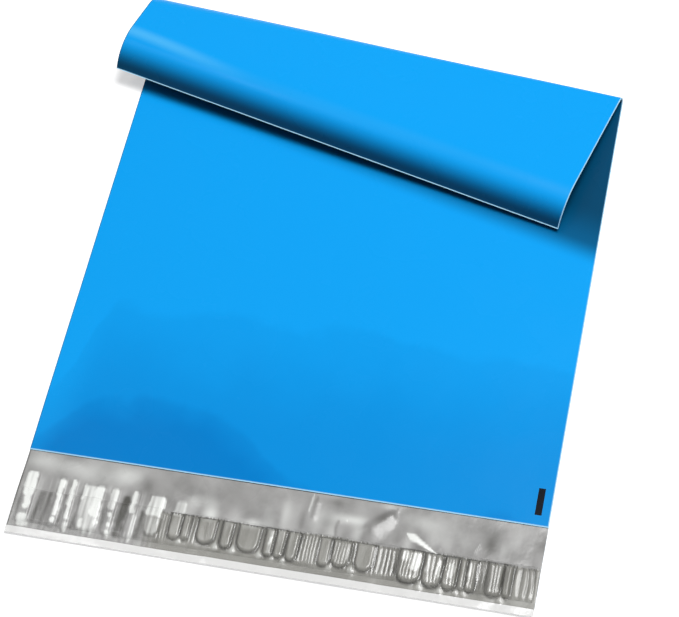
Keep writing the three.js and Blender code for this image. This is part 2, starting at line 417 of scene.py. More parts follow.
# The slack folds of the flap: their height, how it builds up from the mouth, and the
# even part and the share of each pattern in it
FOLD_HEIGHT = 0.9
FOLDS_BUILD_UP = (1, 20)
FOLD_EVEN = 0.55
SOFT_SHARE = 0.75
BROAD_SHARE = 0.5
SMALL_SHARE = 0.22

# How much each kind of mark lightens or darkens the flap. The mottling is random tone; the
# streaks, folds, clouds, grooves, pleats, cusps and creases are painted highlights and painted shade
MOTTLE_TONE = 0.12
STREAK_TONE = 0.32
FOLD_SHADE_TONE = 0.42
CLOUD_TONE = 1.3
GROOVE_SHADE_TONE = 1.15
PLEAT_SHADE_TONE = 0.7
CUSP_HIGHLIGHT_TONE = 0.5
BAND_LINE_TONE = 2.2
BAND_LINE_DARKER = 0.35
BELOW_BAND_TONE = 0.14
FREE_EDGE_TONE = 0.55
LEFT_EDGE_TONE = 0.8

# Where the marks begin and end, out from the mouth and across the flap
STREAKS_BEGIN = (11, 15)
STREAKS_END_ACROSS = (70, 80)
SHADED_FOLDS_BEGIN = (5, 18)
SHADED_FOLDS_END = (21, 24)
SHADED_FOLDS_ACROSS = (60, 90)
MELT_ACROSS = (62, 76)
MELT_EDGE = (-0.3, 0.3)
BAND_LINE_ACROSS = (66, 80)
BAND_LINE_WIDTH = 0.4
BELOW_BAND = (34, 37.5)
BELOW_BAND_ACROSS = (70, 84)
FREE_EDGE = (39.3, 39.9)
LEFT_EDGE = (0.2, 0.9)
MARK_REACH = 3


# Marks whose span reaches a place across the flap
@functools.lru_cache(maxsize=None)
def marks_near(marks, across):
    return [mark for mark in marks if mark[0] - MARK_REACH < across < mark[1] + MARK_REACH]


# How far inside a rounded rectangle a place is
def inside_round(across, out, left, right, start, end, corner):
    corner = min(corner, (right - left) / 2, (end - start) / 2)
    past_x = abs(across - (left + right) / 2) - (right - left) / 2 + corner
    past_y = abs(out - (start + end) / 2) - (end - start) / 2 + corner
    return corner - math.hypot(max(past_x, 0), max(past_y, 0)) - min(max(past_x, past_y), 0)


# Distance inside a pad's outline, which has a round bottom and a nearly square top
def inside_pad(across, out, pad):
    left, right, top, bottom, groove = pad
    room = inside_round(across, out, left, right, top - PAD_CORNER, bottom, PAD_CORNER)
    return min(room, (out - top) * PAD_TOP_STEEPNESS)


# The band's upper edge isn't quite straight
BAND_TOP = 21.2
BAND_SWAY = 0.35
BAND_SWAY_LENGTH = 9
BAND_RAGGEDNESS = 0.5


def band_top(across):
    sway = BAND_SWAY * math.sin(across / BAND_SWAY_LENGTH)
    return BAND_TOP + sway + BAND_RAGGEDNESS * drift(BAND_TOP_JITTER, across)


# Height of the fine pleats, from 0 to 1, and how dark the painted shade in their valleys is
def pleats(across, out):
    wander = PLEAT_BENDING * drift(PLEAT_WANDER, across, out)
    uneven = PLEAT_DEPTH_MEAN + PLEAT_DEPTH_SPREAD * drift(PLEAT_DEPTHS, across, out)
    in_band = ramp_near(out, band_top(across), PLEATS_BEGIN) * (1 - ramp(out, *PLEATS_END))
    height = 0
    depth = 0
    for left, right, spacing, strength in marks_near(PLEATED, across):
        inside = ramp_near(across, left, PLEAT_SIDES) * (1 - ramp_near(across, right, PLEAT_SIDES))
        wave = 0.5 + 0.5 * math.cos(2 * math.pi * (across / spacing + wander))
        height += inside * in_band * wave
        depth += inside * in_band * (1 - wave) * strength * uneven
    return height, depth


# Strength of the raised ridges and cusps between pads, from 0 to about 1, which sets both their height and
# their painted highlight
def cusp_ridge_and_highlight(across, out):
    light = 0
    for left, right, bottom, gap in marks_near(CUSPS, across):
        spread = CUSP_WIDTH + CUSP_GAP_SHARE * gap + CUSP_WIDENING * ramp_near(out, bottom, CUSP_WIDENS)
        ridge = CUSP_FAINT * ramp_near(out, bottom, CUSP_BEGINS)
        ridge += (1 - CUSP_FAINT) * ramp_near(out, bottom, CUSP_BRIGHTENS)
        ridge *= 1 - ramp_near(out, bottom, CUSP_ENDS)
        light += ridge * hump(across - (left + right) / 2, spread)
    return light


# Distance from a crease, and the crease's width there
def from_crease(across, out, crease):
    first_across, first_out, last_across, last_out, first_width, last_width, strength = crease
    run = (last_across - first_across, last_out - first_out)
    share = ((across - first_across) * run[0] + (out - first_out) * run[1]) / (run[0] ** 2 + run[1] ** 2)
    share = min(max(share, 0), 1)
    away = math.hypot(across - first_across - share * run[0], out - first_out - share * run[1])
    return away, blend_between(first_width, last_width, share) * ramp(share, *CREASE_OPENS)


# The flap's relief, in metres, at a place in metres
@functools.lru_cache(maxsize=None)
def flap_lift(across, out):
    across /= MM
    out /= MM
    folds = FOLD_EVEN + SOFT_SHARE * drift(SOFT_FOLDS, across, out)
    folds += BROAD_SHARE * drift(BROAD_FOLDS, across, out) + SMALL_SHARE * drift(SMALL_FOLDS, across, out)
    lift = FOLD_HEIGHT * ramp(out, *FOLDS_BUILD_UP) * folds
    pad_lift = 0
    for pad in marks_near(PADS, across):
        pad_lift = max(pad_lift, PAD_HEIGHT * ramp(inside_pad(across, out, pad), *PAD_SLOPE))
    for crease in CREASES:
        away, width = from_crease(across, out, crease)
        lift += CREASE_HEIGHT * width * hump(away, CREASE_SOFTNESS + width)
    lift += PLEAT_HEIGHT * pleats(across, out)[0] + CUSP_HEIGHT * cusp_ridge_and_highlight(across, out)
    return max(lift + pad_lift, 0) * MM


# The flap's tone, from -1 for dark to 1 for white, with random mottling and painted
# highlights and shade, and how much of it is hot melt
@functools.lru_cache(maxsize=None)
def flap_tone_and_light(across, out):
    across /= MM
    out /= MM
    if not 0 <= out <= FLAP_LENGTH / MM:
        return 0, 0
    waver = 0.9 * drift(STROKE_WAVER, across, out) + 0.35 * drift(STROKE_FRAY, across, out)
    streaky = drift(STREAKS, across, out)
    tone = MOTTLE_TONE * drift(MOTTLING, across, out)
    # Painted highlight and shade streaks over the left part of the flap
    tone += STREAK_TONE * streaky * ramp(out, *STREAKS_BEGIN) * (1 - ramp(across, *STREAKS_END_ACROSS))
    # Painted shade of soft folds above the band
    folds = FOLD_SHADE_TONE * drift(SHADED_FOLDS, across, out) * ramp(out, *SHADED_FOLDS_BEGIN)
    tone += folds * ramp(across, *SHADED_FOLDS_ACROSS) * (1 - ramp(out, *SHADED_FOLDS_END))
    # Painted sheen and painted shade in soft clouds
    for middle, middle_out, half_across, half_out, strength in SHEEN_AND_SHADE_CLOUDS:
        away = math.hypot((across - middle) / half_across, (out - middle_out) / half_out)
        tone += CLOUD_TONE * strength * hump(away, 1)
    # Painted highlight strokes, and painted shade strokes where the strength is below 0
    for left, right, start, end, strength in marks_near(GLINT_AND_SHADE_STROKES, across):
        soft = STROKE_SOFTNESS if strength > 0 else 2 * STROKE_SOFTNESS
        room = inside_round(across + waver, out, left, right, start, end, STROKE_CORNER)
        tone += (strength + STROKE_STREAKS * streaky) * ramp(room, -0.6 * soft, soft)
    # Painted shade in the grooves round the pads
    for pad in marks_near(PADS, across):
        if out > pad[2] - GROOVE_OUTSIDE:
            past_groove = inside_pad(across, out, pad) + GROOVE_OUTSIDE
            tone -= GROOVE_SHADE_TONE * pad[4] * hump(past_groove, GROOVE_WIDTH)
    melt = ramp(across, *MELT_ACROSS) * ramp_near(out, band_top(across), MELT_EDGE)
    line = hump(out - band_top(across), BAND_LINE_WIDTH) * ramp(across, *BAND_LINE_ACROSS)
    tone += line * (BAND_LINE_TONE * drift(BAND_LINE_SPECKLE, across) - BAND_LINE_DARKER)
    # Painted highlight on the cusps and painted shade in the pleat valleys
    tone += CUSP_HIGHLIGHT_TONE * cusp_ridge_and_highlight(across, out) - PLEAT_SHADE_TONE * pleats(across, out)[1]
    tone -= BELOW_BAND_TONE * ramp(across, *BELOW_BAND_ACROSS) * ramp(out, *BELOW_BAND)
    tone -= FREE_EDGE_TONE * ramp(out, *FREE_EDGE) + LEFT_EDGE_TONE * (1 - ramp(across, *LEFT_EDGE))
    # Painted highlights along the creases, painted shade where the strength is below 0
    for crease in CREASES:
        away, width = from_crease(across, out, crease)
        tone += crease[-1] * (1 - ramp(away, 0.3 * width, width))
    return min(max(tone, -1), 1), melt


# Soft slackness of the body, the same for both walls, fading out at the mouth
SLACK_HEIGHT = 0.5 * MM
SLACK_BUILDS_UP = (0, 30 * MM)
MOUTH_LIFT = 0.2 * MM
MOUTH_DEPTH = (0, 16 * MM)
MOUTH_SIDES = (6 * MM, 22 * MM)


def body_slack(across, along):
    waves = 0.45 + 0.9 * drift(BODY_WAVE, across, along) + 0.25 * drift(BODY_FINE_WAVE, across, along)
    return max(SLACK_HEIGHT * ramp(along, *SLACK_BUILDS_UP) * waves, 0)


# How far the front wall stands off the back wall near the open mouth
def mouth_lift(across, along):
    near_mouth = 1 - ramp(along, *MOUTH_DEPTH)
    in_pocket = ramp(across, *MOUTH_SIDES) * ramp(BAG_WIDTH - across, *MOUTH_SIDES)
    return MOUTH_LIFT * near_mouth * in_pocket * (0.55 + 0.8 * drift(MOUTH_WAVE, across))


def evenly(low, high, steps):
    return [low + (high - low) * step / steps for step in range(steps + 1)]


# Meshes are kept as corners in flat places, their lifted positions and faces
class FlatMesh:
    def __init__(self):
        self.flat = []
        self.lifted = []
        self.faces = []
        self.finishes = []
        self.chains = {}

    def corner(self, across, along, depth, lift=0.0):
        self.flat.append((across, along, depth))
        self.lifted.append((across, along, depth + lift))
        return len(self.flat) - 1

    # A face, with the corners that split its sides put in
    def face(self, corners, finish):
        ring = []
        for first, second in zip(corners, corners[1:] + corners[:1]):
            ring.append(first)
            ring.extend(self.chains.get((first, second), ()))
        self.faces.append(ring)
        self.finishes.append(finish)

    def split(self, first, second, between):
        self.chains[first, second] = between
        self.chains[second, first] = between[::-1]

    def to_object(self, name):
        mesh = bpy.data.meshes.new(name)
        mesh.from_pydata(self.lifted, [], self.faces)
        place = mesh.attributes.new("flat_place", "FLOAT_VECTOR", "POINT")
        place.data.foreach_set("vector", [value for point in self.flat for value in point])
        tones = [flap_tone_and_light(across, -along) for across, along, depth in self.flat]
        for number, attribute_name in enumerate(("mark_and_light_tone", "hot_melt")):
            mark = mesh.attributes.new(attribute_name, "FLOAT", "POINT")
            mark.data.foreach_set("value", [tone[number] for tone in tones])
        finish = mesh.attributes.new("finish", "INT", "FACE")
        finish.data.foreach_set("value", self.finishes)
        mesh.shade_smooth()
        return add_object(name, mesh)


# The lines of the body's rows: even ones up to the fold, then the straight lines of
# the bends
def body_rows(layout):
    start = layout["Start Angle"]
    fan = layout["Fan Angle"]
    edge_start = layout["Edge Bend Start"]

    def on_ray(angle, across):
        return layout["Apex Along"] + (layout["Apex Across"] - across) * math.tan(angle)

    panel = [lambda x, share=share: on_ray(start, x) * share for share in evenly(0, 1, PANEL_ROWS)]
    fold = [lambda x, a=angle: on_ray(a, x) for angle in evenly(start, start + fan, FOLD_ROWS)[1:]]
    flat = [
        lambda x, share=share: blend_between(on_ray(start + fan, x), edge_start, share)
        for share in evenly(0, 1, FLAT_RUN_ROWS)[1:]
    ]
    edge_lines = [*evenly(edge_start, BAG_LENGTH - BOTTOM_FOLD, EDGE_ROWS)[1:], BAG_LENGTH - LIP_LENGTH]
    edge = [lambda x, along=along: along for along in [*edge_lines, BAG_LENGTH]]
    return panel + fold + flat + edge


# The sides of a cell: the step to the cell beyond, and the side's corners
CELL_SIDES = (
    ((0, 0, -1), ((0, 0, 0), (0, 1, 0), (1, 1, 0), (1, 0, 0))),
    ((0, 0, 1), ((0, 0, 1), (1, 0, 1), (1, 1, 1), (0, 1, 1))),
    ((-1, 0, 0), ((0, 0, 0), (0, 0, 1), (0, 1, 1), (0, 1, 0))),
    ((1, 0, 0), ((1, 0, 0), (1, 1, 0), (1, 1, 1), (1, 0, 1))),
    ((0, -1, 0), ((0, 0, 0), (1, 0, 0), (1, 0, 1), (0, 0, 1))),
    ((0, 1, 0), ((0, 1, 0), (0, 1, 1), (1, 1, 1), (1, 1, 0))),
)


# Blue or a cut edge where a cell's side is on the bag's outside, and grey in the pocket
def side_finish(step, column, layer):
    if step[2]:
        return OUTSIDE if layer + step[2] in (-1, 3) else INSIDE
    return INSIDE if step[0] and 0 <= column + step[0] < BODY_COLUMNS else CUT


# The body: two walls with the pocket between them, welded at the sides and folded at
# the bottom
def add_body(made, layout):
    rows = body_rows(layout)
    depths = (0, FILM_THICKNESS, FILM_THICKNESS + POCKET_GAP, BAG_THICKNESS)
    across_lines = evenly(0, BAG_WIDTH, BODY_COLUMNS)
    corners = {}

    def at(column, row, layer):
        key = (column, row, layer)
        if key not in corners:
            across = across_lines[column]
            along = rows[row](across)
            lift = body_slack(across, along) - LIP_FLARE * ramp(along, BAG_LENGTH - LIP_LENGTH, BAG_LENGTH)
            if layer > 1:
                lift += mouth_lift(across, along)
            corners[key] = made.corner(across, along, depths[layer], lift)
        return corners[key]

    last_row = len(rows) - 2
    weld = range(WELD_COLUMNS, BODY_COLUMNS - WELD_COLUMNS)

    def filled(column, row, layer):
        if not (0 <= column < BODY_COLUMNS and 0 <= row <= last_row and 0 <= layer < 3):
            return False
        return layer != 1 or column not in weld or row > last_row - 2

    mouth_line = {}
    for layer in (0, 1):
        line = []
        for number in range(FLAP_COLUMNS + 1):
            column, part = divmod(number, FLAP_SPLIT)
            if part == 0:
                line.append(at(column, 0, layer))
            else:
                line.append(made.corner(BAG_WIDTH * number / FLAP_COLUMNS, 0, depths[layer]))
        for column in range(BODY_COLUMNS):
            first = column * FLAP_SPLIT
            made.split(line[first], line[first + FLAP_SPLIT], line[first + 1:first + FLAP_SPLIT])
        mouth_line[layer] = line

    for layer in range(3):
        for row in range(last_row + 1):
            for column in range(BODY_COLUMNS):
                if not filled(column, row, layer):
                    continue
                for step, side in CELL_SIDES:
                    joins_flap = row == layer == 0 and step == (0, -1, 0)
                    if joins_flap or filled(column + step[0], row + step[1], layer + step[2]):
                        continue
                    corners_here = [at(column + x, row + y, layer + z) for x, y, z in side]
                    made.face(corners_here, side_finish(step, column, layer))
    return mouth_line


# Distances out from the mouth of the flap's rows, closest at the top of the band
def flap_outs():
    top_begins = ADHESIVE_START - 1.2 * MM
    top_ends = ADHESIVE_START + 1.6 * MM
    above = evenly(0, top_begins, ROWS_ABOVE_BAND)
    top = evenly(top_begins, top_ends, ROWS_AT_BAND_TOP)[1:]
    return above + top + evenly(top_ends, FLAP_LENGTH, ROWS_IN_BAND)[1:]


# The flap: the back wall carried on past the mouth
def add_flap(made, mouth_line):
    lower = [mouth_line[0]]
    upper = [mouth_line[1]]
    across_lines = evenly(0, BAG_WIDTH, FLAP_COLUMNS)
    for out in flap_outs()[1:]:
        lifts = [flap_lift(across, out) for across in across_lines]
        lower.append([made.corner(x, -out, 0, lift) for x, lift in zip(across_lines, lifts)])
        upper.append([made.corner(x, -out, FILM_THICKNESS, lift) for x, lift in zip(across_lines, lifts)])
    sew_sheet(made, lower, upper, OUTSIDE, INSIDE, open_start=True)


# Faces over and under two grids of corners, and round their rim. The rows run
# towards the flap's edge
def sew_sheet(made, lower, upper, under, over, open_start=False):
    last = len(lower[0]) - 1
    for near, far, near_up, far_up in zip(lower, lower[1:], upper, upper[1:]):
        for column in range(last):
            made.face([near[column], near[column + 1], far[column + 1], far[column]], under)
            made.face([near_up[column], far_up[column], far_up[column + 1], near_up[column + 1]], over)
        made.face([near[0], far[0], far_up[0], near_up[0]], CUT)
        made.face([near[last], near_up[last], far_up[last], far[last]], CUT)
    for column in range(last):
        ends = [lower[-1][column], lower[-1][column + 1], upper[-1][column + 1], upper[-1][column]]
        made.face(ends, CUT)
        if not open_start:
            starts = [lower[0][column], upper[0][column], upper[0][column + 1], lower[0][column + 1]]
            made.face(starts, CUT)


# A thin strip that follows the flap at a height above its outer face, thinner at both
# its long edges if it has a taper
def flap_strip(name, outs, side_margin, height, thickness, taper=0):
    made = FlatMesh()
    lines = evenly(side_margin, BAG_WIDTH - side_margin, FLAP_COLUMNS)
    lower = []
    upper = []
    for out in outs:
        lifts = [flap_lift(across, out) for across in lines]
        to_edge = min(out - outs[0], outs[-1] - out)
        full = blend_between(ADHESIVE_THINNEST, 1, ramp(to_edge, 0, taper)) if taper else 1
        top = height + thickness * full
        lower.append([made.corner(x, -out, height * full, lift) for x, lift in zip(lines, lifts)])
        upper.append([made.corner(x, -out, top, lift) for x, lift in zip(lines, lifts)])
    sew_sheet(made, lower, upper, OUTSIDE, OUTSIDE)
    return made.to_object(name)


# Puts a flat mesh through the roll tree and returns it as a plain mesh object
def rolled(flat_object, tree, layout):
    modifier = flat_object.modifiers.new("Roll", "NODES")
    modifier.node_group = tree
    values = {**layout, "Rest Point": REST_POINT}
    for socket in tree.interface.items_tree:
        if socket.in_out == "INPUT" and socket.name in values:
            modifier[socket.identifier] = values[socket.name]
    flat_object.update_tag()
    shape = flat_object.evaluated_get(bpy.context.evaluated_depsgraph_get())
    mesh = bpy.data.meshes.new_from_object(shape)
    mesh.name = flat_object.name
    flat_object.modifiers.remove(modifier)
    flat_object.data = mesh
    mesh.set_sharp_from_angle(angle=SHARP_ANGLE)
    return flat_object


# Materials
def new_material(name):
    material = bpy.data.materials.new(name)
    material.use_nodes = True
    tree = material.node_tree
    return material, tree, tree.nodes["Principled BSDF"]


def set_inputs(node, **values):
    for name, value in values.items():
        node.inputs[name.replace("_", " ")].default_value = value


def speckle(tree, place, scale, detail, roughness=0.5):
    inputs = {"Vector": place, "Scale": scale, "Detail": detail, "Roughness": roughness}
    return add_node(tree, "ShaderNodeTexNoise", inputs).outputs[0]


LINE_STRETCH = (1.0, 0.03, 1.0)
LINE_SCALE = 900.0
PATCH_SCALE = 23.0
PATCH_RANGE = (0.35, 0.7)


# Film that has been handled: soft crumples, fine extrusion lines along the bag and
# patches that are less glossy
def film_surface_group():
    tree = bpy.data.node_groups.new("Film surface", "ShaderNodeTree")
    group_sockets(tree, "INPUT", "Vector", "Place")
    group_sockets(tree, "INPUT", "Float", "Crumple Scale", "Crumple", "Line")
    group_sockets(tree, "INPUT", "Float", "Smooth Roughness", "Dull Roughness")
    group_sockets(tree, "OUTPUT", "Float", "Height", "Roughness")
    given = tree.nodes.new("NodeGroupInput").outputs
    crumple = speckle(tree, given["Place"], given["Crumple Scale"], 3.0, 0.45)
    stretched = vector_calc(tree, "MULTIPLY", given["Place"], LINE_STRETCH)
    lines = speckle(tree, stretched, LINE_SCALE, 2.0)
    crumple_height = calc(tree, "MULTIPLY", crumple, given["Crumple"])
    height = calc(tree, "MULTIPLY_ADD", lines, given["Line"], crumple_height)
    dull = smooth_step(tree, speckle(tree, given["Place"], PATCH_SCALE, 4.0), *PATCH_RANGE)
    difference = calc(tree, "SUBTRACT", given["Dull Roughness"], given["Smooth Roughness"])
    roughness = calc(tree, "MULTIPLY_ADD", dull, difference, given["Smooth Roughness"])
    add_node(tree, "NodeGroupOutput", [height, roughness])
    return tree


# A new material and the place on the flat film that it colours
def film_material(name):
    material, tree, shader = new_material(name)
    place = add_node(tree, "ShaderNodeAttribute", attribute_name="flat_place").outputs["Vector"]
    return material, tree, shader, place


# Gives a shader its colour, its gloss, and handled film's bump and roughness
def dress(tree, shader, group, place, colour, gloss, bump_distance, **values):
    surface = add_node(tree, "ShaderNodeGroup", {"Place": place}, node_tree=group)
    set_inputs(surface, **values)
    bump = {"Height": surface.outputs["Height"], "Distance": bump_distance, "Strength": 1.0}
    feed(tree, shader.inputs["Base Color"], colour)
    feed(tree, shader.inputs["Roughness"], surface.outputs["Roughness"])
    feed(tree, shader.inputs["Normal"], add_node(tree, "ShaderNodeBump", bump).outputs["Normal"])
    set_inputs(shader, Specular_IOR_Level=gloss)


BLUE_BRIGHT = (0.005, 0.39, 0.965, 1)
BLUE_REFLECTION_SHADE = (0.0, 0.228, 0.66, 1)
BLUE_PAINTED_SHADE = (0.0, 0.043, 0.1, 1)
BLUE_PAINTED_HIGHLIGHT = (0.09, 0.53, 1.0, 1)
PAINTED_EDGE_HIGHLIGHT = (0.45, 0.78, 1.0, 1)
INK = (0.001, 0.003, 0.008, 1)
# Widths of the painted highlight lines along the film's edges, and of the darker line at the left
RIGHT_EDGE_HIGHLIGHT = (0.2 * MM, 0.6 * MM)
LEFT_DARKENING = (0.15 * MM, 0.5 * MM)
MOUTH_EDGE_HIGHLIGHT = (0.35 * MM, 0.9 * MM)
BOTTOM_EDGE_HIGHLIGHT = (0.3 * MM, 0.5 * MM)
EDGE_HIGHLIGHT_STRENGTH = 0.95
DARKENING = 0.8
BAR_CENTRE = (248.2 * MM, 12.1 * MM)
BAR_HALF = (1.6 * MM, 6.7 * MM)

# The clouds of painted shade and reflection on the panel: how much their outlines waver,
# where those run, and each step below an outline with how much it darkens the blue
CLOUD_SCALE = 28.0
CLOUD_WAVER = 30 * MM
CLOUD_OUTLINE = (0.0, 24 * MM, 34 * MM, 84 * MM)
CLOUD_STEPS = ((-4 * MM, 3 * MM, 0.15), (-62 * MM, 6 * MM, 0.4))
HILL_RISE = (-10 * MM, 32 * MM, 0.0, 35 * MM)
HILL_FALL = (76 * MM, 150 * MM, 1.0, 0.0)
HILL_STEPS = ((-4 * MM, 2 * MM, 0.18), (-24 * MM, 2 * MM, 0.32))

# The roll's painted light and shade: a painted highlight streak, painted shade on the
# underside near its edge and a painted shadow on the panel beneath
CREST_TO_BOTTOM = (23 * MM, 19.5 * MM)
CREST_HALF_WIDTH = 5 * MM
CREST_FADE = (18 * MM, 82 * MM)
CREST_STRENGTH = 0.75
CREST_LEAST = 0.12
UNDER_SHADE = (2.5 * MM, 17 * MM)
UNDER_STRENGTH = 0.96
SHADE_BEHIND_EDGE = (3.7 * MM, -3.4 * MM)
SHADE_SPREAD = (-9 * MM, 5 * MM)
SHADE_STRENGTH = 0.78
SHADE_DEEPENS = (0.0, 25 * MM)
SHADE_DEEPENING = 0.16


# A mask that is 1 inside a rectangle of the flat film
def rectangle_mask(tree, across, along, centre, half):
    off_across = calc(tree, "ABSOLUTE", calc(tree, "SUBTRACT", across, centre[0]))
    off_along = calc(tree, "ABSOLUTE", calc(tree, "SUBTRACT", along, centre[1]))
    inside_across = calc(tree, "LESS_THAN", off_across, half[0])
    inside_along = calc(tree, "LESS_THAN", off_along, half[1])
    return calc(tree, "MULTIPLY", inside_across, inside_along)


# How much painted shade darkens the blue below an outline
def painted_darkening_below(tree, past_outline, steps):
    added = [smooth_step(tree, past_outline, low, high, depth, 0.0) for low, high, depth in steps]
    return calc(tree, "ADD", *added)


# How much painted shade and reflection darken the blue, from 0 to about 1: a wide cloudy
# area in the lower half of the panel and a darker hill at its left
def painted_reflection_shade(tree, place, across, along):
    centred = calc(tree, "SUBTRACT", along, CLOUD_WAVER / 2)
    wavy = calc(tree, "MULTIPLY_ADD", speckle(tree, place, CLOUD_SCALE, 3.0), CLOUD_WAVER, centred)
    past_cloud = calc(tree, "SUBTRACT", wavy, smooth_step(tree, across, *CLOUD_OUTLINE))
    rise = smooth_step(tree, across, *HILL_RISE)
    fall = smooth_step(tree, across, *HILL_FALL)
    past_hill = calc(tree, "SUBTRACT", wavy, calc(tree, "MULTIPLY", rise, fall))
    cloud = painted_darkening_below(tree, past_cloud, CLOUD_STEPS)
    return calc(tree, "ADD", cloud, painted_darkening_below(tree, past_hill, HILL_STEPS))


# How much the roll shades the front panel under its free edge, from 0 to 1
def roll_shade(tree, layout, across, along):
    left_end, right_end = (place_on_roll(layout, x, BAG_LENGTH) for x in (0, BAG_WIDTH))
    left_line = left_end.y + SHADE_BEHIND_EDGE[0]
    slope = (right_end.y + SHADE_BEHIND_EDGE[1] - left_line) / (right_end.x - left_end.x)
    line = calc(tree, "MULTIPLY_ADD", across, slope, left_line - slope * left_end.x)
    past_line = calc(tree, "SUBTRACT", along, line)
    near = smooth_step(tree, past_line, *SHADE_SPREAD, 0.0, SHADE_STRENGTH)
    return calc(tree, "ADD", near, smooth_step(tree, past_line, *SHADE_DEEPENS, 0.0, SHADE_DEEPENING))


# A painted highlight streak along the roll's crest, strongest at the roll's wide end
def painted_crest_highlight(tree, across, to_bottom):
    crest = smooth_step(tree, across, 0.0, CREST_FADE[1], *CREST_TO_BOTTOM)
    off_crest = calc(tree, "ABSOLUTE", calc(tree, "SUBTRACT", to_bottom, crest))
    streak = smooth_step(tree, off_crest, 0.0, CREST_HALF_WIDTH, CREST_STRENGTH, 0.0)
    return calc(tree, "MULTIPLY", streak, smooth_step(tree, across, *CREST_FADE, 1.0, CREST_LEAST))


def blue_film_material(surface_group, layout):
    material, tree, shader, place = film_material("blue_film_outside")
    across, along, depth = add_node(tree, "ShaderNodeSeparateXYZ", [place]).outputs
    to_bottom = calc(tree, "SUBTRACT", BAG_LENGTH, along)
    on_front = calc(tree, "GREATER_THAN", depth, BAG_THICKNESS - FILM_THICKNESS / 2)
    off_front = calc(tree, "SUBTRACT", 1.0, on_front)
    # crest is the painted highlight along the roll's crest
    crest = calc(tree, "MULTIPLY", painted_crest_highlight(tree, across, to_bottom), off_front)
    # Painted shade on the roll's underside near its free edge, and a painted shadow of the roll on the front
    # panel
    under = smooth_step(tree, to_bottom, *UNDER_SHADE, UNDER_STRENGTH, 0.0)
    shade = calc(tree, "MULTIPLY", roll_shade(tree, layout, across, along), on_front)
    at_left = smooth_step(tree, across, *LEFT_DARKENING, DARKENING, 0.0)
    # Painted highlights in thin pale lines along the mouth, the right side and the bottom edge
    from_mouth = calc(tree, "ADD", calc(tree, "ABSOLUTE", along), off_front)
    at_mouth = smooth_step(tree, from_mouth, *MOUTH_EDGE_HIGHLIGHT, EDGE_HIGHLIGHT_STRENGTH, 0.0)
    from_right = calc(tree, "SUBTRACT", BAG_WIDTH, across)
    at_right = smooth_step(tree, from_right, *RIGHT_EDGE_HIGHLIGHT, EDGE_HIGHLIGHT_STRENGTH, 0.0)
    at_bottom = smooth_step(tree, to_bottom, *BOTTOM_EDGE_HIGHLIGHT, 1.0, 0.0)
    edge_highlight = calc(tree, "MAXIMUM", calc(tree, "MAXIMUM", at_mouth, at_right), at_bottom)
    bar = calc(tree, "MULTIPLY", rectangle_mask(tree, across, along, BAR_CENTRE, BAR_HALF), on_front)

    # The base blue, darkened by the painted shade and reflection clouds
    colour = mix_colour(tree, painted_reflection_shade(tree, place, across, along), BLUE_BRIGHT, BLUE_REFLECTION_SHADE)
    colour = mix_colour(tree, crest, colour, BLUE_PAINTED_HIGHLIGHT)
    # The same dark blue paints the shade under the roll and its shadow on the panel, and darkens the left
    # edge
    for darkness in (under, shade, at_left):
        colour = mix_colour(tree, darkness, colour, BLUE_PAINTED_SHADE)
    colour = mix_colour(tree, edge_highlight, colour, PAINTED_EDGE_HIGHLIGHT)
    colour = mix_colour(tree, bar, colour, INK)
    dress(
        tree, shader, surface_group, place, colour, gloss=0.07, bump_distance=0.4 * MM,
        Crumple_Scale=38.0, Crumple=0.5, Line=0.02, Smooth_Roughness=0.24, Dull_Roughness=0.3,
    )
    return material


DARK_MARK_AND_SHADE = (0.035, 0.034, 0.026, 1)
PALE_MARK_AND_HIGHLIGHT = (0.96, 0.98, 0.95, 1)


# The tone of the flap's inner face: plain film, hot melt, and over both the pale and
# dark marks, which are random mottling, painted highlights and painted shade
def flap_tone_group():
    tree = bpy.data.node_groups.new("Flap tone", "ShaderNodeTree")
    group_sockets(tree, "INPUT", "Color", "Film Colour", "Melt Colour")
    group_sockets(tree, "OUTPUT", "Color", "Colour")
    given = tree.nodes.new("NodeGroupInput").outputs
    tone = add_node(tree, "ShaderNodeAttribute", attribute_name="mark_and_light_tone").outputs["Fac"]
    melt = add_node(tree, "ShaderNodeAttribute", attribute_name="hot_melt").outputs["Fac"]
    colour = mix_colour(tree, melt, given["Film Colour"], given["Melt Colour"])
    colour = mix_colour(tree, calc(tree, "MULTIPLY", tone, -1.0), colour, DARK_MARK_AND_SHADE)
    colour = mix_colour(tree, tone, colour, PALE_MARK_AND_HIGHLIGHT)
    add_node(tree, "NodeGroupOutput", [colour])
    return tree


def toned(tree, group, film_colour, melt_colour):
    colours = {"Film Colour": film_colour, "Melt Colour": melt_colour}
    return add_node(tree, "ShaderNodeGroup", colours, node_tree=group).outputs["Colour"]


GREY_INSIDE = (0.39, 0.386, 0.38, 1)
GREY_SHADOW = (0.275, 0.273, 0.267, 1)
GREY_CLOUD_SCALE = 70.0
GREY_CLOUD_RANGE = (0.35, 0.72)


def mottled_grey(tree, place):
    mottled = smooth_step(tree, speckle(tree, place, GREY_CLOUD_SCALE, 4.0), *GREY_CLOUD_RANGE)
    return mix_colour(tree, mottled, GREY_INSIDE, GREY_SHADOW)


def grey_film_material(surface_group, tone_group):
    material, tree, shader, place = film_material("grey_film_inside")
    colour = toned(tree, tone_group, mottled_grey(tree, place), ADHESIVE_CLEAR)
    dress(
        tree, shader, surface_group, place, colour, gloss=0.5, bump_distance=1 * MM,
        Crumple_Scale=75.0, Crumple=0.7, Line=0.02, Smooth_Roughness=0.22, Dull_Roughness=0.36,
    )
    return material


CUT_PALE = (0.42, 0.72, 0.92, 1)
CUT_DEEP = (0.2, 0.48, 0.75, 1)
CUT_SPECKLE_SCALE = 700.0


